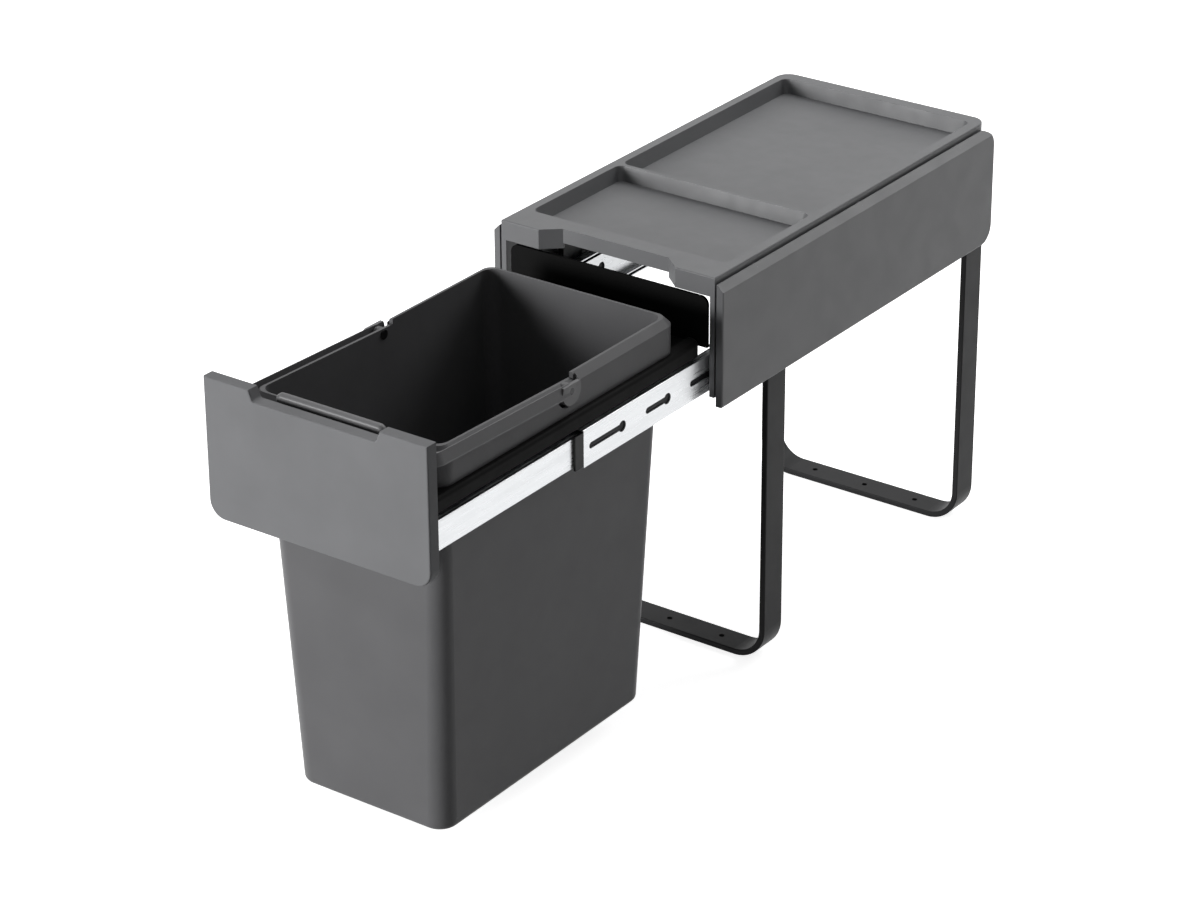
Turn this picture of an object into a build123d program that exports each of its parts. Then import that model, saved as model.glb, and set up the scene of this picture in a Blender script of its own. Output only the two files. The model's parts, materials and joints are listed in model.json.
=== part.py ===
"""Pull out bin frame: a standing housing, full extension slides and a drawer with one bucket."""
import math
import os

from build123d import *

os.makedirs("parts", exist_ok=True)

# Housing, all lengths in millimetres, +X right seen from the front, +Y to the back, +Z up
housing_width = 252
housing_depth = 470
overall_height = 426
front_setback = 102
leg_pitch = 351
cut_over = 20

# Side panels: pressed steel trays with a sloped top edge
panel_height = 118
cover_rise = 6
panel_sheet = 2
panel_return = 7
panel_slope = 6.4
panel_top_bar = 8
panel_corner = 18
panel_edge_round = 1.5

# Legs: flat bar bent to a U
leg_width = 30
leg_thickness = 6
leg_gap = 1.5
leg_bend = 34
leg_drop = 22
leg_edge_round = 1
foot_hole_pitch = 60
foot_hole_dia = 5.5

# Screws and stand offs
standoff_dia = 12
screw_dia = 5
screw_head_dia = 9
screw_play = 0.05
screw_tip_gap = 1.5
upper_screw_drop = 13
cover_screw_dia = 3.2
cover_screw_head_dia = 6
cover_screw_head = 2
cover_screw_bite = 3.5
cover_boss_dia = 8
cover_screw_inset = 60
cover_screw_drop = 10.5

# Rails: three members, ball rows above and below
rail_height = 44
middle_rail_height = 36
rail_sheet = 1.2
rail_length = 450
rail_inset = 12
rail_reach = 10
rail_rise = 29
slide_travel = 396
web_gap = 1.1
inner_web_gap = 1.4
inner_rail_depth = 7.8
rail_edge_round = 1.1
ball_gap = 2.8
ball_dia = 3.6
ball_play = 0.05
outer_ball_inset = 5.3
inner_ball_inset = 3.2
balls_per_row = 4
cage_length = 220
cage_margin = 12
cage_sheet = 0.5
cage_flange = 0.8
cage_start = 10
cage_overlap = 5.6
keyhole_count = 5
keyhole_first = 62
keyhole_pitch = 68
keyhole_length = 38
first_keyhole_length = 54
keyhole_dia = 10.5
keyhole_slot = 6
stop_length = 20
stop_overhang = 12
stop_sheet = 1.05
stop_height = 32

# Cover
cover_gap = 2
cover_height = 19
cover_wall = 2.5
cover_corner = 15
cover_edge_round = 1.2
tray_side = 10
tray_front = 33
tray_rear = 15
tray_depth = 14
tray_taper = 14
tray_corner = 8
rib_front = 171
rib_width = 4
recess_side = 42
recess_slant = 17
recess_depth = 14.5
recess_lift = 5
cheek_depth = 10
cheek_width = 5
cheek_length = 97

# Drawer front panel
fascia_side_gap = 8
fascia_height = 130
fascia_top_drop = 1
fascia_depth = 12
fascia_wall = 3
fascia_corner = 16
fascia_edge_round = 1.5
closed_gap = 2
notch_side = 49
notch_slope = 4
notch_depth = 10
notch_round = 3
fascia_screw_inset = 18.8
fascia_screw_spacing = 50
fascia_screw_rise = 5
fascia_screw_dia = 4
fascia_screw_head_dia = 8
fascia_screw_head = 2.5
fascia_boss_dia = 9

# Carrier frame
carrier_leg_gap = 1.5
carrier_rise = 37
carrier_bar = 13.5
carrier_wall = 2.2
carrier_skin = 2.5
carrier_wall_drop = 38.5
carrier_round = 4
carrier_rear = 7
carrier_tip = 12
carrier_front_bar = 27
carrier_rear_bar = 35
carrier_rear_drop = 10
carrier_rear_height = 14
carrier_front_wall = 3
carrier_front_wall_drop = 36
back_wall_gap = 3.5
back_wall_inset = 5
back_wall_sheet = 3
back_wall_height = 36
back_wall_corner = 8
carrier_boss_dia = 11
carrier_screw_dia = 4
carrier_screw_head_dia = 7
carrier_screw_head = 2
carrier_screw_first = 30
carrier_screw_pitch = 80
carrier_screw_count = 3

# Bucket
rim_side = 6
rim_length = 337
rim_rear = 38
rim_height = 33
rim_slope = 6.3
rim_corner = 16
rim_wall = 2.2
rim_dip = 5
rim_pitch = 2
rim_over = 6
ear_slot = 3
slot_depth = 5
bucket_wall = 2.2
bucket_floor = 2.5
bucket_taper = 22
bucket_bottom_length = 297
bucket_bottom_rear = 59
bucket_ground = 23
bucket_bottom_corner = 18
bucket_top_corner = 15
bucket_foot_round = 5

# Bail and its pivot pins
pivot_behind_front = 175
pivot_drop = 10
pin_dia = 6
pin_head_dia = 9
pin_head = 1.5
pin_play = 0.05
pin_boss_dia = 12
ear_gap = 0.3
ear_sheet = 3.5
ear_radius = 13
arm_width = 4.5
arm_height = 11
arm_lift = 1.3
arm_bevel = 3.8
arm_bevel_drop = 9.5
bail_bar = 8
bail_front_gap = 8
bail_corner = 15
grip_side_gap = 1
grip_height = 25
grip_corner = 6
grip_edge_round = 3.5

# Places that follow from the sizes above
half_width = housing_width / 2
y_front = -(front_setback + leg_pitch / 2)
y_rear = y_front + housing_depth
y_centre = (y_front + y_rear) / 2
panel_top = overall_height - cover_rise
panel_bottom = panel_top - panel_height
panel_inner = half_width - panel_return
panel_web = half_width - panel_sheet
leg_outer = panel_inner - leg_gap
leg_inner = leg_outer - leg_thickness
leg_top = panel_top - leg_drop
front_leg_y = -leg_pitch / 2
rear_leg_y = leg_pitch / 2
upper_screw_z = leg_top - upper_screw_drop
cover_half = panel_inner - cover_gap
cover_bottom = overall_height - cover_height
cover_screw_z = overall_height - cover_screw_drop
rail_centre = panel_bottom + rail_rise
rail_outer_y = y_front + rail_inset
rail_middle_y = rail_outer_y - slide_travel / 2
rail_inner_y = rail_outer_y - slide_travel
fascia_back = y_front - slide_travel - closed_gap
fascia_top = overall_height - fascia_top_drop
fascia_width = housing_width - fascia_side_gap - fascia_side_gap
fascia_half = fascia_width / 2
notch_half = fascia_half - notch_side
fascia_screw_z = rail_centre + fascia_screw_rise
recess_front_half = cover_half - recess_side
recess_back_half = recess_front_half - recess_slant
middle_half = middle_rail_height / 2
inner_half = middle_half - rail_sheet - ball_gap
outer_half = rail_height / 2
middle_web = leg_inner - rail_sheet - web_gap
inner_web = middle_web - rail_sheet - inner_web_gap
rail_tip = leg_inner - rail_reach
inner_tip = inner_web - inner_rail_depth
outer_ball_x = leg_inner - outer_ball_inset
inner_ball_x = inner_web - inner_ball_inset
outer_ball_z = middle_half + ball_gap / 2
inner_ball_z = inner_half + ball_gap / 2
groove_radius = ball_dia / 2 + ball_play
fascia_screw_outer = inner_tip - fascia_screw_inset
fascia_screw_inner = fascia_screw_outer - fascia_screw_spacing
carrier_half = leg_inner - carrier_leg_gap
back_wall_half = leg_inner - back_wall_gap
carrier_top = rail_centre + carrier_rise
carrier_bottom = carrier_top - carrier_bar
carrier_back = y_front - carrier_rear
rim_half = carrier_half - rim_side
rim_top = carrier_top + rim_height
rim_back = y_front - rim_rear
rim_front = rim_back - rim_length
rim_middle = rim_back - rim_length / 2
pivot_y = rim_front + pivot_behind_front
pivot_z = rim_top - pivot_drop
ear_inner = rim_half + ear_gap
ear_outer = ear_inner + ear_sheet
step_y = pivot_y + ear_radius
step_top = rim_top - rim_dip
bucket_bottom_half = rim_half - bucket_taper
grip_half = recess_back_half - grip_side_gap
bail_front = rim_front - bail_front_gap - bail_bar


def side_plane(x, y, z):
    """Plane square to X, its local x along Y and its local y along Z."""
    return Plane(origin=(x, y, z), x_dir=(0, 1, 0), z_dir=(1, 0, 0))


def front_plane(x, y, z):
    """Plane square to Y, facing the front, its local x along X and its local y along Z."""
    return Plane(origin=(x, y, z), x_dir=(1, 0, 0), z_dir=(0, -1, 0))


def level(z):
    """Plane parallel to the floor."""
    return Plane.XY.offset(z)


def slab(x0, x1, y0, y1, z0, z1, mode=Mode.ADD):
    """Straight block between two corners, for the builder that is open."""
    with Locations(((x0 + x1) / 2, (y0 + y1) / 2, (z0 + z1) / 2)):
        Box(abs(x1 - x0), abs(y1 - y0), abs(z1 - z0), mode=mode)


def cone_x(sign, x, y, z, near, far, length, mode=Mode.ADD):
    """Round bar along X from sign * x outwards, near and far are its two radii."""
    with Locations(Plane(origin=(sign * x, y, z), z_dir=(sign, 0, 0))):
        if near == far:
            Cylinder(near, length, align=(Align.CENTER, Align.CENTER, Align.MIN), mode=mode)
        else:
            Cone(near, far, length, align=(Align.CENTER, Align.CENTER, Align.MIN), mode=mode)


# Right side panel: blank with rounded rear corners, sloped top, hollow behind
leg_places = [
    (leg_y, screw_z) for leg_y in (front_leg_y, rear_leg_y) for screw_z in (rail_centre, upper_screw_z)
]
cover_screw_places = (
    y_front + cover_screw_inset,
    y_centre,
    y_rear - cover_screw_inset,
)
with BuildPart() as side_panel_right:
    panel_centre_z = (panel_bottom + panel_top) / 2
    with BuildSketch(side_plane(panel_inner, y_centre, panel_centre_z)) as blank:
        Rectangle(housing_depth, panel_height)
        fillet(blank.vertices().group_by(Axis.X)[-1], panel_corner)
    extrude(amount=panel_return)
    fillet(side_panel_right.faces().sort_by(Axis.X)[-1].edges(), panel_edge_round)
    with BuildSketch(front_plane(0, y_rear + cut_over, 0)):
        Polygon(
            (half_width - panel_slope, panel_top),
            (half_width, panel_top - panel_slope),
            (half_width + cut_over, panel_top - panel_slope),
            (half_width + cut_over, panel_top + cut_over),
            (half_width - panel_slope, panel_top + cut_over),
            align=None,
        )
    extrude(amount=housing_depth + cut_over + cut_over, mode=Mode.SUBTRACT)
    pocket_height = panel_height - panel_sheet - panel_top_bar
    pocket_z = panel_bottom + panel_sheet + pocket_height / 2
    with BuildSketch(side_plane(panel_inner, y_centre, pocket_z)) as pocket:
        Rectangle(housing_depth - panel_sheet - panel_sheet, pocket_height)
        fillet(pocket.vertices().group_by(Axis.X)[-1], panel_corner - panel_sheet)
    extrude(amount=panel_return - panel_sheet, mode=Mode.SUBTRACT)
    for screw_y in cover_screw_places:
        with BuildSketch(side_plane(panel_inner, screw_y, cover_screw_z)):
            Circle(cover_screw_dia / 2 + screw_play)
        extrude(amount=cover_screw_bite + screw_play, mode=Mode.SUBTRACT)
side_panel_right.part.label = "side_panel_right"
export_step(side_panel_right.part, "parts/side_panel_right.step")

with BuildPart() as side_panel_left:
    add(side_panel_right.part.mirror(Plane.YZ))
side_panel_left.part.label = "side_panel_left"
export_step(side_panel_left.part, "parts/side_panel_left.step")


def bent_leg(leg_y):
    """Flat bar U with floor holes and countersunk arm holes, centred on leg_y."""
    with BuildPart() as leg:
        with BuildSketch(front_plane(0, leg_y, leg_top / 2)) as outline:
            Rectangle(leg_outer + leg_outer, leg_top)
            fillet(outline.vertices().group_by(Axis.Y)[0], leg_bend)
        extrude(amount=leg_width / 2, both=True)
        gap_height = leg_top + cut_over - leg_thickness
        with BuildSketch(front_plane(0, leg_y, leg_thickness + gap_height / 2)) as gap:
            Rectangle(leg_inner + leg_inner, gap_height)
            fillet(gap.vertices().group_by(Axis.Y)[0], leg_bend - leg_thickness)
        extrude(amount=leg_width, both=True, mode=Mode.SUBTRACT)
        fillet(leg.edges().filter_by(Axis.Y, reverse=True).filter_by(Axis.X, reverse=True), leg_edge_round)
        with BuildSketch(level(0)):
            with Locations((-foot_hole_pitch, leg_y), (0, leg_y), (foot_hole_pitch, leg_y)):
                Circle(foot_hole_dia / 2)
        extrude(amount=leg_thickness + cut_over, mode=Mode.SUBTRACT)
        for sign in (-1, 1):
            for screw_z in (rail_centre, upper_screw_z):
                with BuildSketch(side_plane(sign * (leg_outer + cut_over), leg_y, screw_z)):
                    Circle(screw_dia / 2 + screw_play)
                extrude(amount=-sign * (leg_thickness + cut_over + cut_over), mode=Mode.SUBTRACT)
            with BuildSketch(side_plane(sign * leg_inner, leg_y, upper_screw_z)):
                Circle(screw_head_dia / 2 + screw_play)
            extrude(amount=sign * (screw_head_dia - screw_dia) / 2, taper=45, mode=Mode.SUBTRACT)
            with BuildSketch(side_plane(sign * leg_inner, leg_y, rail_centre)):
                Circle(screw_head_dia / 2 + screw_play - rail_sheet)
            sink = (screw_head_dia - screw_dia) / 2 - rail_sheet
            extrude(amount=sign * sink, taper=45, mode=Mode.SUBTRACT)
    return leg.part


with BuildPart() as front_leg:
    add(bent_leg(front_leg_y))
front_leg.part.label = "front_leg"
export_step(front_leg.part, "parts/front_leg.step")

with BuildPart() as rear_leg:
    add(bent_leg(rear_leg_y))
rear_leg.part.label = "rear_leg"
export_step(rear_leg.part, "parts/rear_leg.step")

# Stand offs on the panel webs, one behind each arm screw
with BuildPart() as panel_standoffs:
    for sign in (-1, 1):
        for leg_y, screw_z in leg_places:
            with BuildSketch(side_plane(sign * leg_outer, leg_y, screw_z)):
                Circle(standoff_dia / 2)
                Circle(screw_dia / 2 + screw_play, mode=Mode.SUBTRACT)
            extrude(amount=sign * (panel_web - leg_outer))
panel_standoffs.part.label = "panel_standoffs"
export_step(panel_standoffs.part, "parts/panel_standoffs.step")


def countersunk(sign, head_x, screw_y, screw_z):
    """Countersunk screw along X, its head face at head_x, for the builder that is open."""
    cone_x(
        sign, head_x, screw_y, screw_z, screw_head_dia / 2, screw_dia / 2, (screw_head_dia - screw_dia) / 2
    )
    cone_x(
        sign, head_x, screw_y, screw_z, screw_dia / 2, screw_dia / 2, panel_web - screw_tip_gap - head_x
    )


with BuildPart() as leg_screws:
    for sign in (-1, 1):
        for leg_y in (front_leg_y, rear_leg_y):
            countersunk(sign, leg_inner, leg_y, upper_screw_z)
leg_screws.part.label = "leg_screws"
export_step(leg_screws.part, "parts/leg_screws.step")

with BuildPart() as rail_screws:
    for sign in (-1, 1):
        for leg_y in (front_leg_y, rear_leg_y):
            countersunk(sign, leg_inner - rail_sheet, leg_y, rail_centre)
rail_screws.part.label = "rail_screws"
export_step(rail_screws.part, "parts/rail_screws.step")


def ball_groove(x, z, y0, length):
    """Round groove along Y, cut from the builder that is open."""
    with Locations(Plane(origin=(x, y0 + length / 2, z), z_dir=(0, 1, 0))):
        Cylinder(groove_radius, length + cut_over + cut_over, mode=Mode.SUBTRACT)


# Outer rail, fixed to the legs
with BuildPart() as outer_rail_right:
    with BuildSketch(front_plane((leg_inner + rail_tip) / 2, rail_outer_y, rail_centre)) as section:
        Rectangle(rail_reach, rail_height)
        fillet(section.vertices().group_by(Axis.X)[-1], rail_edge_round)
    extrude(amount=-rail_length)
    channel = rail_reach - rail_sheet
    slab(
        rail_tip - cut_over, rail_tip + channel, rail_outer_y - cut_over,
        rail_outer_y + rail_length + cut_over, rail_centre - outer_half + rail_sheet,
        rail_centre + outer_half - rail_sheet, mode=Mode.SUBTRACT,
    )
    for side in (-1, 1):
        ball_groove(outer_ball_x, rail_centre + side * outer_ball_z, rail_outer_y, rail_length)
    for leg_y in (front_leg_y, rear_leg_y):
        with BuildSketch(side_plane(leg_inner - rail_sheet, leg_y, rail_centre)):
            Circle(screw_head_dia / 2 + screw_play)
        extrude(amount=rail_sheet, taper=45, mode=Mode.SUBTRACT)
outer_rail_right.part.label = "outer_rail_right"
export_step(outer_rail_right.part, "parts/outer_rail_right.step")

with BuildPart() as outer_rail_left:
    add(outer_rail_right.part.mirror(Plane.YZ))
outer_rail_left.part.label = "outer_rail_left"
export_step(outer_rail_left.part, "parts/outer_rail_left.step")

# Middle rail, with keyholes in its web
with BuildPart() as middle_rail_right:
    with BuildSketch(front_plane((middle_web + rail_tip) / 2, rail_middle_y, rail_centre)) as section:
        Rectangle(middle_web - rail_tip, middle_rail_height)
        fillet(section.vertices().group_by(Axis.X)[-1], rail_edge_round)
    extrude(amount=-rail_length)
    slab(
        rail_tip - cut_over, middle_web - rail_sheet, rail_middle_y - cut_over,
        rail_middle_y + rail_length + cut_over, rail_centre - middle_half + rail_sheet,
        rail_centre + middle_half - rail_sheet, mode=Mode.SUBTRACT,
    )
    for side in (-1, 1):
        ball_groove(outer_ball_x, rail_centre + side * outer_ball_z, rail_middle_y, rail_length)
        ball_groove(inner_ball_x, rail_centre + side * inner_ball_z, rail_middle_y, rail_length)
    for hole in range(keyhole_count):
        hole_back = rail_middle_y + keyhole_first + hole * keyhole_pitch
        hole_length = keyhole_length if hole else first_keyhole_length
        with BuildSketch(side_plane(middle_web - rail_sheet, hole_back, rail_centre)):
            with Locations((-keyhole_dia / 2, 0)):
                Circle(keyhole_dia / 2)
            with Locations((-hole_length / 2 - keyhole_dia / 4, 0)):
                SlotOverall(hole_length - keyhole_dia / 2, keyhole_slot)
        extrude(amount=rail_sheet, mode=Mode.SUBTRACT)
middle_rail_right.part.label = "middle_rail_right"
export_step(middle_rail_right.part, "parts/middle_rail_right.step")

with BuildPart() as middle_rail_left:
    add(middle_rail_right.part.mirror(Plane.YZ))
middle_rail_left.part.label = "middle_rail_left"
export_step(middle_rail_left.part, "parts/middle_rail_left.step")

# Inner rail, carried by the drawer
carrier_screw_places = [
    carrier_back - carrier_screw_first - index * carrier_screw_pitch for index in range(carrier_screw_count)
]
with BuildPart() as inner_rail_right:
    with BuildSketch(front_plane((inner_web + inner_tip) / 2, rail_inner_y, rail_centre)) as section:
        Rectangle(inner_rail_depth, inner_half + inner_half)
        fillet(section.vertices().group_by(Axis.X)[-1], rail_edge_round)
    extrude(amount=-rail_length)
    slab(
        inner_tip - cut_over, inner_web - rail_sheet, rail_inner_y - cut_over,
        rail_inner_y + rail_length + cut_over, rail_centre - inner_half + rail_sheet,
        rail_centre + inner_half - rail_sheet, mode=Mode.SUBTRACT,
    )
    for side in (-1, 1):
        ball_groove(inner_ball_x, rail_centre + side * inner_ball_z, rail_inner_y, rail_length)
    for screw_y in carrier_screw_places:
        with BuildSketch(side_plane(inner_web - rail_sheet, screw_y, rail_centre)):
            Circle(carrier_screw_dia / 2 + screw_play)
        extrude(amount=rail_sheet, mode=Mode.SUBTRACT)
inner_rail_right.part.label = "inner_rail_right"
export_step(inner_rail_right.part, "parts/inner_rail_right.step")

with BuildPart() as inner_rail_left:
    add(inner_rail_right.part.mirror(Plane.YZ))
inner_rail_left.part.label = "inner_rail_left"
export_step(inner_rail_left.part, "parts/inner_rail_left.step")

# Black stops in the front mouths of the middle rails
with BuildPart() as rail_stops:
    for sign in (-1, 1):
        stop_inner = middle_web - rail_sheet - stop_sheet
        stop_front = rail_middle_y - stop_overhang
        slab(
            sign * stop_inner, sign * (middle_web - rail_sheet), stop_front, stop_front + stop_length,
            rail_centre - stop_height / 2, rail_centre + stop_height / 2,
        )
        slab(
            sign * stop_inner, sign * middle_web, stop_front, rail_middle_y,
            rail_centre - stop_height / 2, rail_centre + stop_height / 2,
        )
rail_stops.part.label = "rail_stops"
export_step(rail_stops.part, "parts/rail_stops.step")


def cage(web_out, web_x, row_x, row_z, tip_x, start_y):
    """Sheet cage on both sides: a web, two flanges and one round hole for each ball."""
    pitch = (cage_length - cage_margin - cage_margin) / (balls_per_row - 1)
    with BuildPart() as strip:
        for sign in (-1, 1):
            slab(
                sign * web_x, sign * web_out, start_y, start_y + cage_length,
                rail_centre - row_z - cage_flange / 2, rail_centre + row_z + cage_flange / 2,
            )
            for side in (-1, 1):
                flange_z = rail_centre + side * row_z
                slab(
                    sign * tip_x, sign * web_out, start_y, start_y + cage_length,
                    flange_z - cage_flange / 2, flange_z + cage_flange / 2,
                )
            for index in range(balls_per_row):
                with BuildSketch(level(rail_centre)):
                    with Locations((sign * row_x, start_y + cage_margin + index * pitch)):
                        Circle(groove_radius)
                extrude(amount=row_z + ball_dia, both=True, mode=Mode.SUBTRACT)
    return strip.part


def ball_rows(row_x, row_z, start_y):
    """All balls of one pair of cages."""
    pitch = (cage_length - cage_margin - cage_margin) / (balls_per_row - 1)
    with BuildPart() as balls:
        with Locations(
            *[
                (sign * row_x, start_y + cage_margin + index * pitch, rail_centre + side * row_z)
                for sign in (-1, 1)
                for side in (-1, 1)
                for index in range(balls_per_row)
            ]
        ):
            Sphere(ball_dia / 2)
    return balls.part


outer_cage_web = leg_inner - rail_sheet - (web_gap - cage_sheet) / 2
inner_cage_web = middle_web - rail_sheet - (inner_web_gap - cage_sheet) / 2
outer_cage_y = rail_outer_y + cage_start
inner_cage_y = rail_middle_y + cage_start

with BuildPart() as outer_cages:
    add(cage(outer_cage_web, outer_cage_web - cage_sheet, outer_ball_x, outer_ball_z,
             outer_ball_x - cage_overlap / 2, outer_cage_y))
outer_cages.part.label = "outer_cages"
export_step(outer_cages.part, "parts/outer_cages.step")

with BuildPart() as inner_cages:
    add(cage(inner_cage_web, inner_cage_web - cage_sheet, inner_ball_x, inner_ball_z,
             inner_ball_x - cage_overlap / 2, inner_cage_y))
inner_cages.part.label = "inner_cages"
export_step(inner_cages.part, "parts/inner_cages.step")

with BuildPart() as outer_balls:
    add(ball_rows(outer_ball_x, outer_ball_z, outer_cage_y))
outer_balls.part.label = "outer_balls"
export_step(outer_balls.part, "parts/outer_balls.step")

with BuildPart() as inner_balls:
    add(ball_rows(inner_ball_x, inner_ball_z, inner_cage_y))
inner_balls.part.label = "inner_balls"
export_step(inner_balls.part, "parts/inner_balls.step")

# Cover: block, finger recess, two trays, then hollowed from below
tray_half = cover_half - tray_side
floor_under = overall_height - tray_depth - cover_wall
with BuildPart() as top_cover:
    with BuildSketch(level(cover_bottom)) as plan:
        with Locations((0, y_centre)):
            Rectangle(cover_half + cover_half, housing_depth)
        fillet(plan.vertices().group_by(Axis.Y)[-1], cover_corner)
    extrude(amount=cover_height)
    rim_edges = top_cover.faces().sort_by(Axis.Z)[-1].edges()
    fillet(rim_edges, cover_edge_round)
    for tray_start, tray_end in (
        (y_front + tray_front, y_front + rib_front),
        (y_front + rib_front + rib_width, y_rear - tray_rear),
    ):
        with BuildSketch(level(overall_height)) as tray:
            with Locations((0, (tray_start + tray_end) / 2)):
                Rectangle(tray_half + tray_half, tray_end - tray_start)
            fillet(tray.vertices(), tray_corner)
        extrude(amount=-tray_depth, taper=tray_taper, mode=Mode.SUBTRACT)
    with BuildSketch(level(cover_bottom)) as cavity:
        with Locations((0, y_centre)):
            Rectangle(
                cover_half + cover_half - cover_wall - cover_wall, housing_depth - cover_wall - cover_wall
            )
        fillet(cavity.vertices().group_by(Axis.Y)[-1], cover_corner - cover_wall)
        shell_half = tray_half + cover_wall
        shell_front = y_front + tray_front - cover_wall
        shell_back = y_rear - tray_rear + cover_wall
        with Locations((0, (shell_front + shell_back) / 2)):
            Rectangle(shell_half + shell_half, shell_back - shell_front, mode=Mode.SUBTRACT)
        Polygon(
            (-recess_front_half - cover_wall, y_front),
            (recess_front_half + cover_wall, y_front),
            (recess_back_half + cover_wall, y_front + recess_depth + cover_wall),
            (-recess_back_half - cover_wall, y_front + recess_depth + cover_wall),
            align=None,
            mode=Mode.SUBTRACT,
        )
    extrude(amount=cover_height - cover_wall, mode=Mode.SUBTRACT)
    slab(-shell_half, shell_half, shell_front, shell_back, cover_bottom, floor_under, mode=Mode.SUBTRACT)
    with BuildSketch(level(cover_bottom - cut_over)):
        Polygon(
            (-recess_front_half, y_front - closed_gap),
            (recess_front_half, y_front - closed_gap),
            (recess_front_half, y_front),
            (recess_back_half, y_front + recess_depth),
            (-recess_back_half, y_front + recess_depth),
            (-recess_front_half, y_front),
            align=None,
        )
    extrude(amount=cover_height + cut_over + cut_over, mode=Mode.SUBTRACT)
    slab(
        -recess_back_half, recess_back_half, y_front, y_front + tray_front - cover_wall,
        cover_bottom - cut_over, cover_bottom + recess_lift, mode=Mode.SUBTRACT,
    )
    for sign in (-1, 1):
        slab(
            sign * (cover_half - cheek_width), sign * cover_half, y_front, y_front + cheek_depth,
            cover_bottom - cheek_length, overall_height - cover_wall,
        )
        for screw_y in cover_screw_places:
            with BuildSketch(side_plane(sign * (cover_half - cover_wall / 2), screw_y, cover_screw_z)):
                Circle(cover_boss_dia / 2)
            extrude(amount=sign * (panel_inner - cover_half + cover_wall / 2))
            with BuildSketch(side_plane(sign * (cover_half - cover_wall), screw_y, cover_screw_z)):
                Circle(cover_screw_dia / 2 + screw_play)
            extrude(amount=sign * (panel_inner - cover_half + cover_wall), mode=Mode.SUBTRACT)
top_cover.part.label = "top_cover"
export_step(top_cover.part, "parts/top_cover.step")

with BuildPart() as cover_screws:
    for sign in (-1, 1):
        for screw_y in cover_screw_places:
            head_x = cover_half - cover_wall
            with BuildSketch(side_plane(sign * (head_x - cover_screw_head), screw_y, cover_screw_z)):
                Circle(cover_screw_head_dia / 2)
            extrude(amount=sign * cover_screw_head)
            with BuildSketch(side_plane(sign * (head_x - cover_screw_head), screw_y, cover_screw_z)):
                Circle(cover_screw_dia / 2)
            extrude(amount=sign * (panel_inner + cover_screw_bite - head_x + cover_screw_head))
cover_screws.part.label = "cover_screws"
export_step(cover_screws.part, "parts/cover_screws.step")

# Front panel: shell open at the back, notch in its top edge, screw bosses
fascia_bottom = fascia_top - fascia_height
fascia_middle = (fascia_top + fascia_bottom) / 2
fascia_screw_places = [
    sign * offset for sign in (-1, 1) for offset in (fascia_screw_inner, fascia_screw_outer)
]
with BuildPart() as front_fascia:
    with BuildSketch(front_plane(0, fascia_back, fascia_middle)) as face:
        Rectangle(fascia_width, fascia_height)
        fillet(face.vertices().group_by(Axis.Y)[0], fascia_corner)
        notch_z = fascia_height / 2
        Polygon(
            (-notch_half, notch_z),
            (notch_half, notch_z),
            (notch_half - notch_slope, notch_z - notch_depth),
            (-notch_half + notch_slope, notch_z - notch_depth),
            align=None,
            mode=Mode.SUBTRACT,
        )
        notch_corners = face.vertices().filter_by_position(
            Axis.Y, notch_z - notch_depth - notch_round, notch_z - notch_depth + notch_round
        )
        fillet(notch_corners, notch_round)
    extrude(amount=fascia_depth)
    fillet(front_fascia.faces().sort_by(Axis.Y)[0].edges(), fascia_edge_round)
    with BuildSketch(front_plane(0, fascia_back, fascia_middle)) as hollow:
        Rectangle(fascia_width - fascia_wall - fascia_wall, fascia_height - fascia_wall - fascia_wall)
        fillet(hollow.vertices().group_by(Axis.Y)[0], fascia_corner - fascia_wall)
        Polygon(
            (-notch_half - fascia_wall, notch_z),
            (notch_half + fascia_wall, notch_z),
            (notch_half + fascia_wall - notch_slope, notch_z - notch_depth - fascia_wall),
            (-notch_half - fascia_wall + notch_slope, notch_z - notch_depth - fascia_wall),
            align=None,
            mode=Mode.SUBTRACT,
        )
    extrude(amount=fascia_depth - fascia_wall, mode=Mode.SUBTRACT)
    for screw_x in fascia_screw_places:
        with BuildSketch(front_plane(screw_x, fascia_back, fascia_screw_z)):
            Circle(fascia_boss_dia / 2)
        extrude(amount=fascia_depth - fascia_wall)
        with BuildSketch(front_plane(screw_x, fascia_back, fascia_screw_z)):
            Circle(fascia_screw_dia / 2 + screw_play)
        extrude(amount=fascia_depth - fascia_wall, mode=Mode.SUBTRACT)
front_fascia.part.label = "front_fascia"
export_step(front_fascia.part, "parts/front_fascia.step")

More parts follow.
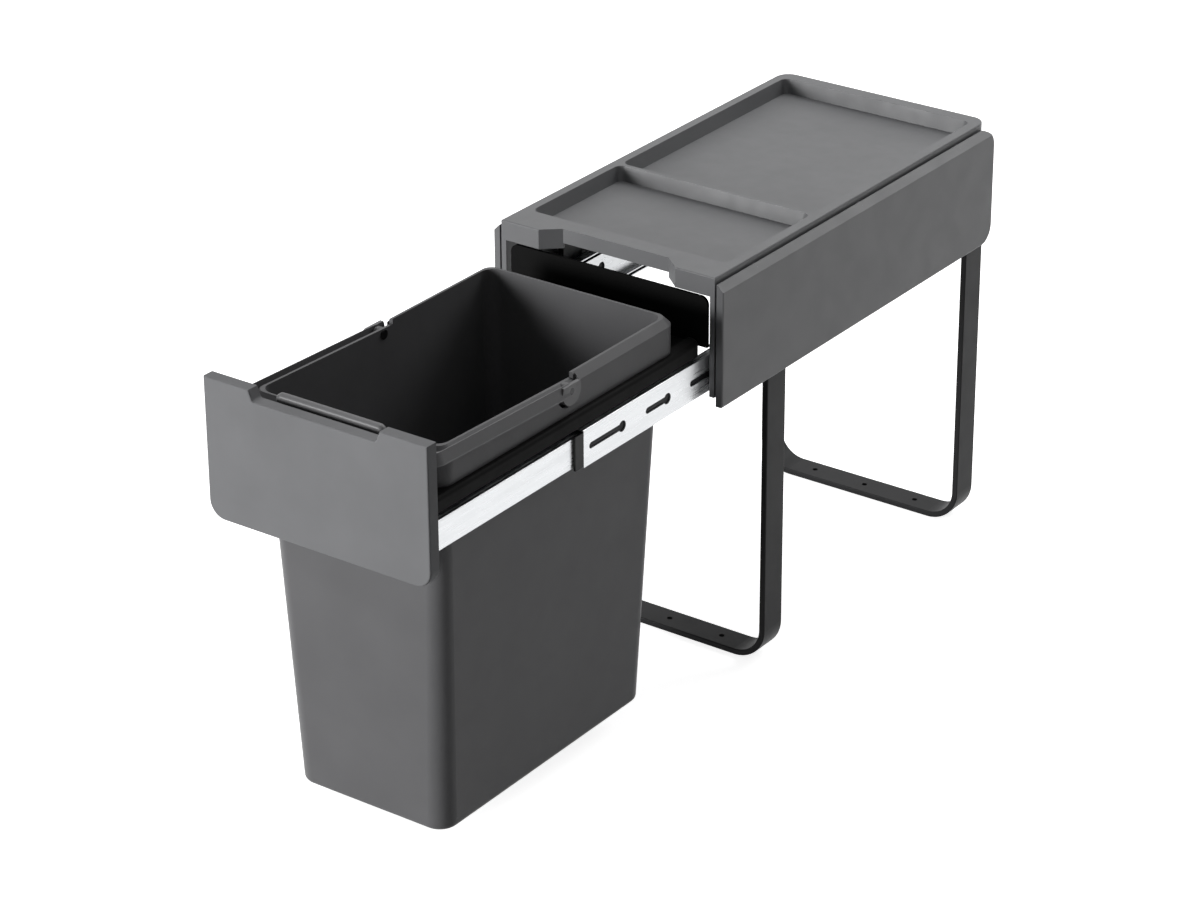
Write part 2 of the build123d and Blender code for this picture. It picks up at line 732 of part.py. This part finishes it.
# Carrier: ring with hollow side bars, inner side walls, front wall and upright rear wall
opening_half = inner_tip - carrier_wall
opening_front = fascia_back + carrier_front_bar
opening_back = carrier_back - carrier_rear_bar
carrier_length = carrier_back - fascia_back
wall_bottom = carrier_bottom - carrier_wall_drop
back_wall_y = y_front + back_wall_inset
with BuildPart() as carrier_frame:
    with BuildSketch(level(carrier_bottom)) as ring:
        with Locations((0, (fascia_back + carrier_back) / 2)):
            Rectangle(carrier_half + carrier_half, carrier_length)
        fillet(ring.vertices().group_by(Axis.Y)[-1], carrier_tip)
    extrude(amount=carrier_bar)
    top_edges = carrier_frame.faces().sort_by(Axis.Z)[-1].edges()
    fillet(top_edges.filter_by(lambda edge: edge.center().Y > fascia_back + carrier_skin), carrier_round)
    for sign in (-1, 1):
        slab(
            sign * inner_tip, sign * (carrier_half - carrier_skin), fascia_back + carrier_skin,
            carrier_back - carrier_tip, carrier_bottom, carrier_top - carrier_skin, mode=Mode.SUBTRACT,
        )
    slab(
        -opening_half, opening_half, fascia_back + carrier_skin, opening_front - carrier_skin,
        carrier_bottom, carrier_top - carrier_skin, mode=Mode.SUBTRACT,
    )
    slab(
        -opening_half, opening_half, opening_front, carrier_back + cut_over,
        carrier_bottom, carrier_top, mode=Mode.SUBTRACT,
    )
    for sign in (-1, 1):
        slab(
            sign * opening_half, sign * inner_tip, fascia_back, carrier_back,
            wall_bottom, carrier_bottom + carrier_skin,
        )
        for screw_y in carrier_screw_places:
            with BuildSketch(side_plane(sign * (inner_tip - carrier_wall / 2), screw_y, rail_centre)):
                Circle(carrier_boss_dia / 2)
            extrude(amount=sign * (inner_web - rail_sheet - inner_tip + carrier_wall / 2))
    slab(
        -inner_tip, inner_tip, fascia_back, fascia_back + carrier_front_wall,
        carrier_bottom - carrier_front_wall_drop, carrier_top - carrier_skin,
    )
    rear_top = carrier_top - carrier_rear_drop
    slab(
        -inner_tip, inner_tip, opening_back, carrier_back,
        rear_top - carrier_rear_height, rear_top,
    )
    slab(
        -opening_half + carrier_skin, opening_half - carrier_skin, opening_back + carrier_skin,
        carrier_back - carrier_skin, rear_top - carrier_rear_height, rear_top - carrier_skin,
        mode=Mode.SUBTRACT,
    )
    slab(
        -opening_half, opening_half, carrier_back - carrier_skin, back_wall_y,
        rear_top - carrier_skin, rear_top,
    )
    wall_height = back_wall_height + carrier_top - rear_top + carrier_skin
    with BuildSketch(front_plane(0, back_wall_y, rear_top - carrier_skin + wall_height / 2)) as upright:
        Rectangle(back_wall_half + back_wall_half, wall_height)
        fillet(upright.vertices().group_by(Axis.Y)[-1], back_wall_corner)
    extrude(amount=back_wall_sheet)
    for sign in (-1, 1):
        for screw_y in carrier_screw_places:
            with BuildSketch(side_plane(sign * opening_half, screw_y, rail_centre)):
                Circle(carrier_screw_dia / 2 + screw_play)
            extrude(amount=sign * (inner_web - opening_half), mode=Mode.SUBTRACT)
            with BuildSketch(side_plane(sign * opening_half, screw_y, rail_centre)):
                Circle(carrier_screw_head_dia / 2 + screw_play)
            extrude(amount=sign * carrier_screw_head, mode=Mode.SUBTRACT)
    for screw_x in fascia_screw_places:
        with BuildSketch(front_plane(screw_x, fascia_back, fascia_screw_z)):
            Circle(fascia_screw_dia / 2 + screw_play)
        extrude(amount=-carrier_front_wall, mode=Mode.SUBTRACT)
carrier_frame.part.label = "carrier_frame"
export_step(carrier_frame.part, "parts/carrier_frame.step")

with BuildPart() as carrier_screws:
    for sign in (-1, 1):
        for screw_y in carrier_screw_places:
            with BuildSketch(side_plane(sign * opening_half, screw_y, rail_centre)):
                Circle(carrier_screw_head_dia / 2)
            extrude(amount=sign * carrier_screw_head)
            with BuildSketch(side_plane(sign * opening_half, screw_y, rail_centre)):
                Circle(carrier_screw_dia / 2)
            extrude(amount=sign * (inner_web - opening_half))
carrier_screws.part.label = "carrier_screws"
export_step(carrier_screws.part, "parts/carrier_screws.step")

with BuildPart() as fascia_screws:
    for screw_x in fascia_screw_places:
        with BuildSketch(front_plane(screw_x, fascia_back + carrier_front_wall, fascia_screw_z)):
            Circle(fascia_screw_head_dia / 2)
        extrude(amount=-fascia_screw_head)
        with BuildSketch(front_plane(screw_x, fascia_back + carrier_front_wall, fascia_screw_z)):
            Circle(fascia_screw_dia / 2)
        extrude(amount=carrier_front_wall + fascia_depth - fascia_wall - screw_tip_gap)
fascia_screws.part.label = "fascia_screws"
export_step(fascia_screws.part, "parts/fascia_screws.step")


# Bucket: skirted rim with a sloped shoulder, tapered body, pin bosses
def rounded_plate(half, length, y_middle, corner, z):
    """Rounded rectangle on a level plane."""
    with BuildSketch(level(z)) as plate:
        with Locations((0, y_middle)):
            RectangleRounded(half + half, length, corner)
    return plate.sketch


def tapered(inset, z_low, z_high):
    """Tapered body between two rounded rectangles, both drawn in by inset, round at its foot."""
    low_y = y_front - bucket_bottom_rear - bucket_bottom_length / 2
    top_half = rim_half - rim_slope
    top_length = rim_length - rim_slope - rim_slope
    with BuildPart() as body:
        low = rounded_plate(
            bucket_bottom_half - inset, bucket_bottom_length - inset - inset, low_y,
            bucket_bottom_corner - inset, z_low,
        )
        high = rounded_plate(
            top_half - inset, top_length - inset - inset, rim_middle, bucket_top_corner - inset, z_high,
        )
        loft([low.face(), high.face()], ruled=True)
        fillet(body.faces().sort_by(Axis.Z)[0].edges(), bucket_foot_round - inset)
    return body.part


def rim_block(inset, z_low, z_top):
    """Solid rim with a sloped shoulder, drawn in by inset."""
    with BuildPart() as block:
        with BuildSketch(level(z_low)):
            with Locations((0, rim_middle)):
                RectangleRounded(
                    rim_half + rim_half - inset - inset, rim_length - inset - inset, rim_corner - inset
                )
        extrude(amount=z_top - z_low)
        chamfer(block.faces().sort_by(Axis.Z)[-1].edges(), rim_slope)
    return block.part


def rear_rim(inset, y_start):
    """Level rear part of the rim from y_start backwards."""
    with BuildPart() as rear_part:
        add(rim_block(inset, carrier_top, rim_top - inset))
        slab(
            -rim_half, rim_half, y_start, rim_back, carrier_top, rim_top, mode=Mode.INTERSECT,
        )
    return rear_part.part


def front_rim(inset, y_end):
    """Front part of the rim, lower at the ears and rising towards the front."""
    low_block = rim_block(inset, carrier_top - cut_over, step_top - inset)
    with BuildPart() as front_part:
        add(low_block.rotate(Axis((0, step_y, step_top), (1, 0, 0)), -rim_pitch))
        slab(
            -rim_half, rim_half, rim_front - cut_over, y_end, carrier_top, rim_top + cut_over,
            mode=Mode.INTERSECT,
        )
    return front_part.part


with BuildPart() as bin_bucket:
    add(rear_rim(0, step_y))
    add(front_rim(0, step_y))
    add(rear_rim(rim_wall, step_y + rim_wall), mode=Mode.SUBTRACT)
    add(front_rim(rim_wall, step_y + rim_wall), mode=Mode.SUBTRACT)
    for sign in (-1, 1):
        cone_x(
            sign, rim_half - rim_slope - rim_wall / 2, pivot_y, pivot_z, pin_boss_dia / 2,
            pin_boss_dia / 2, rim_slope,
        )
    add(tapered(0, bucket_ground, rim_top + rim_over))
    add(tapered(bucket_wall, bucket_ground + bucket_floor, rim_top + rim_over), mode=Mode.SUBTRACT)
    front_rise = (step_y - rim_front + cut_over) * math.tan(math.radians(rim_pitch))
    with BuildSketch(side_plane(0, 0, 0)):
        Polygon(
            (rim_back + cut_over, rim_top),
            (step_y, rim_top),
            (step_y, step_top),
            (rim_front - cut_over, step_top + front_rise),
            (rim_front - cut_over, rim_top + cut_over),
            (rim_back + cut_over, rim_top + cut_over),
            align=None,
        )
    extrude(amount=rim_half + cut_over, both=True, mode=Mode.SUBTRACT)
    for sign in (-1, 1):
        with BuildSketch(side_plane(sign * (rim_half - slot_depth), pivot_y, pivot_z)):
            Circle(ear_radius + ear_slot)
            Circle(ear_radius, mode=Mode.SUBTRACT)
            with Locations((0, ear_radius)):
                Rectangle(housing_width, ear_radius + ear_radius, mode=Mode.SUBTRACT)
            with Locations((ear_radius + ear_slot / 2, rim_height / 2)):
                Rectangle(ear_slot, rim_height)
        extrude(amount=sign * (slot_depth + cut_over), mode=Mode.SUBTRACT)
    pin_seat = rim_half - rim_slope - bucket_wall
    for sign in (-1, 1):
        cone_x(
            sign, pin_seat - pin_head_dia, pivot_y, pivot_z, pin_head_dia / 2 + pin_play,
            pin_head_dia / 2 + pin_play, pin_head_dia, mode=Mode.SUBTRACT,
        )
        cone_x(
            sign, pin_seat - pin_head_dia, pivot_y, pivot_z, pin_dia / 2 + pin_play,
            pin_dia / 2 + pin_play, rim_half, mode=Mode.SUBTRACT,
        )
bin_bucket.part.label = "bin_bucket"
export_step(bin_bucket.part, "parts/bin_bucket.step")

with BuildPart() as pivot_pins:
    for sign in (-1, 1):
        with BuildSketch(side_plane(sign * (pin_seat - pin_head), pivot_y, pivot_z)):
            Circle(pin_head_dia / 2)
        extrude(amount=sign * pin_head)
        with BuildSketch(side_plane(sign * (pin_seat - pin_head), pivot_y, pivot_z)):
            Circle(pin_dia / 2)
        extrude(amount=sign * (ear_outer - pin_seat + pin_head))
pivot_pins.part.label = "pivot_pins"
export_step(pivot_pins.part, "parts/pivot_pins.step")

# Bail: two bevelled arms rising to the front, a bar with a raised grip, round ears on the pins
arm_outer = ear_inner + arm_width
arm_top = step_top + arm_lift
arm_length = step_y - bail_front
arm_rise = (arm_length + cut_over) * math.tan(math.radians(rim_pitch))
bar_low = arm_top - arm_height + arm_length * math.tan(math.radians(rim_pitch))
with BuildPart() as bail_handle:
    with BuildSketch(level(pivot_z - arm_height)) as loop:
        with Locations((0, (pivot_y + bail_front) / 2)):
            Rectangle(arm_outer + arm_outer, pivot_y - bail_front)
        fillet(loop.vertices().group_by(Axis.Y)[0], bail_corner)
    extrude(amount=arm_height + arm_height + arm_height)
    with BuildSketch(level(pivot_z - arm_height)) as gap:
        with Locations((0, (pivot_y + cut_over + bail_front + bail_bar) / 2)):
            Rectangle(ear_inner + ear_inner, pivot_y - bail_front + cut_over - bail_bar)
        fillet(gap.vertices().group_by(Axis.Y)[0], bail_corner - arm_width)
    extrude(amount=arm_height + arm_height + arm_height, mode=Mode.SUBTRACT)
    with BuildSketch(side_plane(0, 0, 0)):
        Polygon(
            (step_y, arm_top),
            (bail_front - cut_over, arm_top + arm_rise),
            (bail_front - cut_over, arm_top + arm_rise - arm_height),
            (step_y, arm_top - arm_height),
            align=None,
        )
    extrude(amount=arm_outer + cut_over, both=True, mode=Mode.INTERSECT)
    top_edges = bail_handle.faces().sort_by(Axis.Z)[-1].edges()
    straight_edges = top_edges.filter_by(GeomType.LINE)
    bevel_edges = top_edges.filter_by(GeomType.LINE, reverse=True).sort_by(SortBy.LENGTH)[-2:]
    bevel_edges += [
        straight_edges.sort_by(Axis.X)[0], straight_edges.sort_by(Axis.X)[-1],
        straight_edges.sort_by(Axis.Y)[0],
    ]
    chamfer(
        bevel_edges, arm_bevel, length2=arm_bevel_drop, reference=bail_handle.faces().sort_by(Axis.Z)[-1]
    )
    with BuildSketch(front_plane(0, bail_front + bail_bar, bar_low + grip_height / 2)) as grip:
        Rectangle(grip_half + grip_half, grip_height)
        fillet(grip.vertices().group_by(Axis.Y)[-1], grip_corner)
    extrude(amount=bail_bar)
    for sign in (-1, 1):
        with BuildSketch(side_plane(sign * ear_inner, pivot_y, pivot_z)):
            Circle(ear_radius)
            with Locations((0, arm_top - pivot_z + ear_radius / 2)):
                Rectangle(ear_radius + ear_radius, ear_radius, mode=Mode.SUBTRACT)
        extrude(amount=sign * ear_sheet)
        with BuildSketch(side_plane(sign * ear_inner, pivot_y, pivot_z)):
            Circle(pin_dia / 2 + pin_play)
        extrude(amount=sign * (arm_width + ear_sheet), mode=Mode.SUBTRACT)
    grip_edges = bail_handle.edges().filter_by(Axis.X).sort_by(Axis.Z)[-2:]
    fillet(grip_edges, grip_edge_round)
bail_handle.part.label = "bail_handle"
export_step(bail_handle.part, "parts/bail_handle.step")
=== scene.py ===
"""Looks for the pull out bin frame: finishes, camera and studio light."""
import json
import math

import bpy
from mathutils import Matrix, Vector

# Camera of the photograph, in the part's frame
CAMERA_AZIMUTH = 36.165
CAMERA_ELEVATION = 25.446
CAMERA_ROLL = -0.48
CAMERA_DISTANCE = 3.597
CAMERA_TARGET = (-0.1058, -0.1775, 0.195)
FOCAL_PIXELS = 3778.7
IMAGE_SIZE = (1200, 900)
IMAGE_CENTRE = (577.8, 413.5)
SENSOR_WIDTH = 36

# Light
KEY_PLACE = (-2.0, -4.2, 0.95)
KEY_SIZE = 1.4
KEY_POWER = 190
TOP_PLACE = (-0.6, 1.6, 3.6)
TOP_SIZE = 2.4
TOP_POWER = 76
BACK_PLACE = (1.2, 3.2, 2.7)
BACK_SIZE = 2.0
BACK_POWER = 54
WORLD_STRENGTH = 0.08
FLOOR_TONE = 0.25
FLOOR_GLOW = 0.85
FLOOR_SIZE = 60
LIGHT_AIM = (0, -0.15, 0.25)
FLOOR_DROP = 0.0002
WHITE = (1, 1, 1, 1)

# Spread of noise that carries most of its values, and how far roughness wanders
NOISE_LOW = 0.35
NOISE_HIGH = 0.65
RAMP_LOW = 0.3
RAMP_HIGH = 0.7
SOFT_WANDER = 0.03
METAL_WANDER = 0.06

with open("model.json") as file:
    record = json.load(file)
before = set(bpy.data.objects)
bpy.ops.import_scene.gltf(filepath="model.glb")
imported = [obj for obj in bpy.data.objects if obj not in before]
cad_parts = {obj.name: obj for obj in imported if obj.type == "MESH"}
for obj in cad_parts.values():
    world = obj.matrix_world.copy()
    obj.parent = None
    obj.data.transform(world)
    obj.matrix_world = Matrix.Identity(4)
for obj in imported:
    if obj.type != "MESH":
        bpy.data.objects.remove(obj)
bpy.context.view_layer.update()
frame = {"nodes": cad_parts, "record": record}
nodes = frame["nodes"]


def new_material(name):
    """Node material with a Principled shader, and the tools to fill it."""
    material = bpy.data.materials.new(name)
    material.use_nodes = True
    tree = material.node_tree
    shader = tree.nodes["Principled BSDF"]
    return material, tree, shader


def position(tree, stretch=(1, 1, 1)):
    """Object coordinates, stretched along the three axes."""
    coordinates = tree.nodes.new("ShaderNodeTexCoord")
    mapping = tree.nodes.new("ShaderNodeMapping")
    mapping.inputs["Scale"].default_value = stretch
    tree.links.new(coordinates.outputs["Object"], mapping.inputs["Vector"])
    return mapping.outputs["Vector"]


def noise(tree, vector, scale, detail=3, roughness=0.5):
    """Noise texture output over a coordinate."""
    texture = tree.nodes.new("ShaderNodeTexNoise")
    texture.inputs["Scale"].default_value = scale
    texture.inputs["Detail"].default_value = detail
    texture.inputs["Roughness"].default_value = roughness
    tree.links.new(vector, texture.inputs["Vector"])
    return texture.outputs["Fac"]


def spread(tree, value, low, high):
    """The middle of a noise value mapped to low ... high."""
    ranged = tree.nodes.new("ShaderNodeMapRange")
    ranged.inputs["From Min"].default_value = NOISE_LOW
    ranged.inputs["From Max"].default_value = NOISE_HIGH
    ranged.inputs["To Min"].default_value = low
    ranged.inputs["To Max"].default_value = high
    tree.links.new(value, ranged.inputs["Value"])
    return ranged.outputs["Result"]


def tint(tree, shader, colour, value, depth):
    """Base colour that wanders a little around colour."""
    ramp = tree.nodes.new("ShaderNodeValToRGB")
    ramp.color_ramp.elements[0].position = RAMP_LOW
    ramp.color_ramp.elements[1].position = RAMP_HIGH
    for element, share in zip(ramp.color_ramp.elements, (1 - depth, 1 + depth)):
        element.color = [min(channel * share, 1) for channel in colour] + [1]
    tree.links.new(value, ramp.inputs["Fac"])
    tree.links.new(ramp.outputs["Color"], shader.inputs["Base Color"])


def relief(tree, shader, value, height, strength=1.0):
    """Bump of a given height in metres."""
    bump = tree.nodes.new("ShaderNodeBump")
    bump.inputs["Distance"].default_value = height
    bump.inputs["Strength"].default_value = strength
    tree.links.new(value, bump.inputs["Height"])
    tree.links.new(bump.outputs["Normal"], shader.inputs["Normal"])


def grained_plastic(name, colour, roughness, grain=1400, depth=0.00004, specular=0.35):
    """Moulded plastic with a fine spark eroded grain."""
    material, tree, shader = new_material(name)
    place = position(tree)
    tint(tree, shader, colour, noise(tree, place, 16, detail=4), 0.05)
    fine = noise(tree, place, grain, detail=2)
    rough = spread(tree, noise(tree, place, 60), roughness - SOFT_WANDER, roughness + SOFT_WANDER)
    tree.links.new(rough, shader.inputs["Roughness"])
    relief(tree, shader, fine, depth)
    shader.inputs["Specular IOR Level"].default_value = specular
    return material


def powder_coat(name, colour, roughness, specular=0.35):
    """Painted steel with the soft ripple of baked powder."""
    material, tree, shader = new_material(name)
    place = position(tree)
    tint(tree, shader, colour, noise(tree, place, 9, detail=4), 0.04)
    rough = spread(tree, noise(tree, place, 45), roughness - SOFT_WANDER, roughness + SOFT_WANDER)
    tree.links.new(rough, shader.inputs["Roughness"])
    relief(tree, shader, noise(tree, place, 520, detail=2), 0.00003)
    shader.inputs["Specular IOR Level"].default_value = specular
    return material


def zinc_plate(name, colour, roughness, stretch=(1, 0.04, 1)):
    """Cold rolled strip with bright zinc, its rolling marks along the strip."""
    material, tree, shader = new_material(name)
    place = position(tree, stretch)
    marks = noise(tree, place, 900, detail=3)
    tint(tree, shader, colour, noise(tree, place, 120, detail=3), 0.04)
    rough = spread(tree, marks, roughness - METAL_WANDER, roughness + METAL_WANDER)
    tree.links.new(rough, shader.inputs["Roughness"])
    relief(tree, shader, marks, 0.00001, 0.5)
    shader.inputs["Metallic"].default_value = 1
    return material


finishes = {
    "panel_steel": powder_coat("panel_steel", (0.125, 0.127, 0.131), 0.42, 0.35),
    "leg_steel": powder_coat("leg_steel", (0.020, 0.020, 0.021), 0.40, 0.10),
    "rail_steel": zinc_plate("rail_steel", (0.58, 0.59, 0.60), 0.32),
    "screw_steel": zinc_plate("screw_steel", (0.62, 0.63, 0.64), 0.32, (1, 1, 1)),
    "ball_steel": zinc_plate("ball_steel", (0.72, 0.73, 0.74), 0.12, (1, 1, 1)),
    # The cages are coloured near black, far darker than plated steel: painted shade for the unlit
    # inside of the slides seen through the keyholes.
    "cage_steel": zinc_plate("cage_steel", (0.020, 0.020, 0.021), 0.55),
    "cover_plastic": grained_plastic("cover_plastic", (0.150, 0.152, 0.157), 0.42, specular=0.30),
    "fascia_plastic": grained_plastic("fascia_plastic", (0.190, 0.192, 0.198), 0.50, specular=0.06),
    # The carrier is coloured almost black with little sheen, darker than its own plastic: painted
    # shade for the enclosed, unlit inside of the housing.
    "carrier_plastic": grained_plastic("carrier_plastic", (0.006, 0.006, 0.006), 0.50, specular=0.03),
    "bucket_plastic": grained_plastic("bucket_plastic", (0.125, 0.125, 0.129), 0.38, specular=0.12),
    "bail_plastic": grained_plastic("bail_plastic", (0.140, 0.140, 0.144), 0.38, specular=0.25),
    "pin_steel": zinc_plate("pin_steel", (0.030, 0.030, 0.031), 0.40, (1, 1, 1)),
    "stop_plastic": grained_plastic("stop_plastic", (0.014, 0.014, 0.014), 0.45, specular=0.15),
}
slots = {entry["node"]: entry["material_slot"] for entry in frame["record"]["subparts"]}
# The pins are dark in the photo, unlike the plated screws that share their slot
slots["pivot_pins"] = "pin_steel"
for name, item in nodes.items():
    item.data.materials.clear()
    item.data.materials.append(finishes[slots[name]])


def seen_directly(tree):
    """1 for rays from the camera, in gloss and through glass, 0 for the rest."""
    path = tree.nodes.new("ShaderNodeLightPath")
    mirrored = tree.nodes.new("ShaderNodeMath")
    mirrored.operation = "MAXIMUM"
    tree.links.new(path.outputs["Is Camera Ray"], mirrored.inputs[0])
    tree.links.new(path.outputs["Is Glossy Ray"], mirrored.inputs[1])
    through = tree.nodes.new("ShaderNodeMath")
    through.operation = "MAXIMUM"
    tree.links.new(mirrored.outputs["Value"], through.inputs[0])
    tree.links.new(path.outputs["Is Transmission Ray"], through.inputs[1])
    return through.outputs["Value"]


def floor_material():
    """Pale floor that shows white where it is seen directly and keeps a soft shadow of the object."""
    material, tree, shader = new_material("studio_floor")
    shader.inputs["Roughness"].default_value = 0.9
    shader.inputs["Specular IOR Level"].default_value = 0.1
    seen = seen_directly(tree)
    tone = tree.nodes.new("ShaderNodeMix")
    tone.data_type = "RGBA"
    tone.inputs[6].default_value = (FLOOR_TONE, FLOOR_TONE, FLOOR_TONE, 1)
    tone.inputs[7].default_value = (0.93, 0.93, 0.935, 1)
    tree.links.new(seen, tone.inputs["Factor"])
    tree.links.new(tone.outputs[2], shader.inputs["Base Color"])
    glow = tree.nodes.new("ShaderNodeMath")
    glow.operation = "MULTIPLY"
    glow.inputs[1].default_value = FLOOR_GLOW
    tree.links.new(seen, glow.inputs[0])
    shader.inputs["Emission Color"].default_value = WHITE
    tree.links.new(glow.outputs["Value"], shader.inputs["Emission Strength"])
    return material


def build_stage():
    """Floor plane with the pale studio floor material."""
    bpy.ops.mesh.primitive_plane_add(size=FLOOR_SIZE, location=(0, 0, -FLOOR_DROP))
    floor = bpy.context.object
    floor.name = "studio_floor"
    floor.data.materials.append(floor_material())


def area_light(name, place, size, power):
    """Square soft box aimed at the object."""
    lamp = bpy.data.lights.new(name, "AREA")
    lamp.energy = power
    lamp.size = size
    item = bpy.data.objects.new(name, lamp)
    bpy.context.scene.collection.objects.link(item)
    item.location = place
    item.rotation_euler = (Vector(LIGHT_AIM) - Vector(place)).to_track_quat("-Z", "Y").to_euler()


def build_world():
    """Soft even sky that shows white to the camera, in gloss and through glass."""
    world = bpy.data.worlds.new("studio_world")
    bpy.context.scene.world = world
    world.use_nodes = True
    tree = world.node_tree
    background = tree.nodes["Background"]
    background.inputs["Color"].default_value = WHITE
    strength = tree.nodes.new("ShaderNodeMapRange")
    strength.inputs["To Min"].default_value = WORLD_STRENGTH
    strength.inputs["To Max"].default_value = 1
    tree.links.new(seen_directly(tree), strength.inputs["Value"])
    tree.links.new(strength.outputs["Result"], background.inputs["Strength"])


def build_camera():
    """Camera at the photograph's place, with its roll and its off centre principal point."""
    azimuth = math.radians(CAMERA_AZIMUTH)
    elevation = math.radians(CAMERA_ELEVATION)
    roll = math.radians(CAMERA_ROLL)
    back = Vector((
        math.sin(azimuth) * math.cos(elevation),
        -math.cos(azimuth) * math.cos(elevation),
        math.sin(elevation),
    ))
    level_right = Vector((math.cos(azimuth), math.sin(azimuth), 0))
    level_up = back.cross(level_right)
    right = level_right * math.cos(roll) + level_up * math.sin(roll)
    up = level_up * math.cos(roll) - level_right * math.sin(roll)
    lens = bpy.data.cameras.new("photo_camera")
    lens.sensor_width = SENSOR_WIDTH
    lens.lens = FOCAL_PIXELS * SENSOR_WIDTH / IMAGE_SIZE[0]
    lens.shift_x = (IMAGE_SIZE[0] / 2 - IMAGE_CENTRE[0]) / IMAGE_SIZE[0]
    lens.shift_y = (IMAGE_CENTRE[1] - IMAGE_SIZE[1] / 2) / IMAGE_SIZE[0]
    lens.clip_end = FLOOR_SIZE * 2
    item = bpy.data.objects.new("photo_camera", lens)
    bpy.context.scene.collection.objects.link(item)
    turn = Matrix((right, up, back)).transposed().to_4x4()
    item.matrix_world = Matrix.Translation(Vector(CAMERA_TARGET) + back * CAMERA_DISTANCE) @ turn
    bpy.context.scene.camera = item


build_stage()
area_light("key_light", KEY_PLACE, KEY_SIZE, KEY_POWER)
area_light("top_light", TOP_PLACE, TOP_SIZE, TOP_POWER)
area_light("back_light", BACK_PLACE, BACK_SIZE, BACK_POWER)
build_world()
build_camera()
bpy.context.scene.view_settings.view_transform = "Standard"
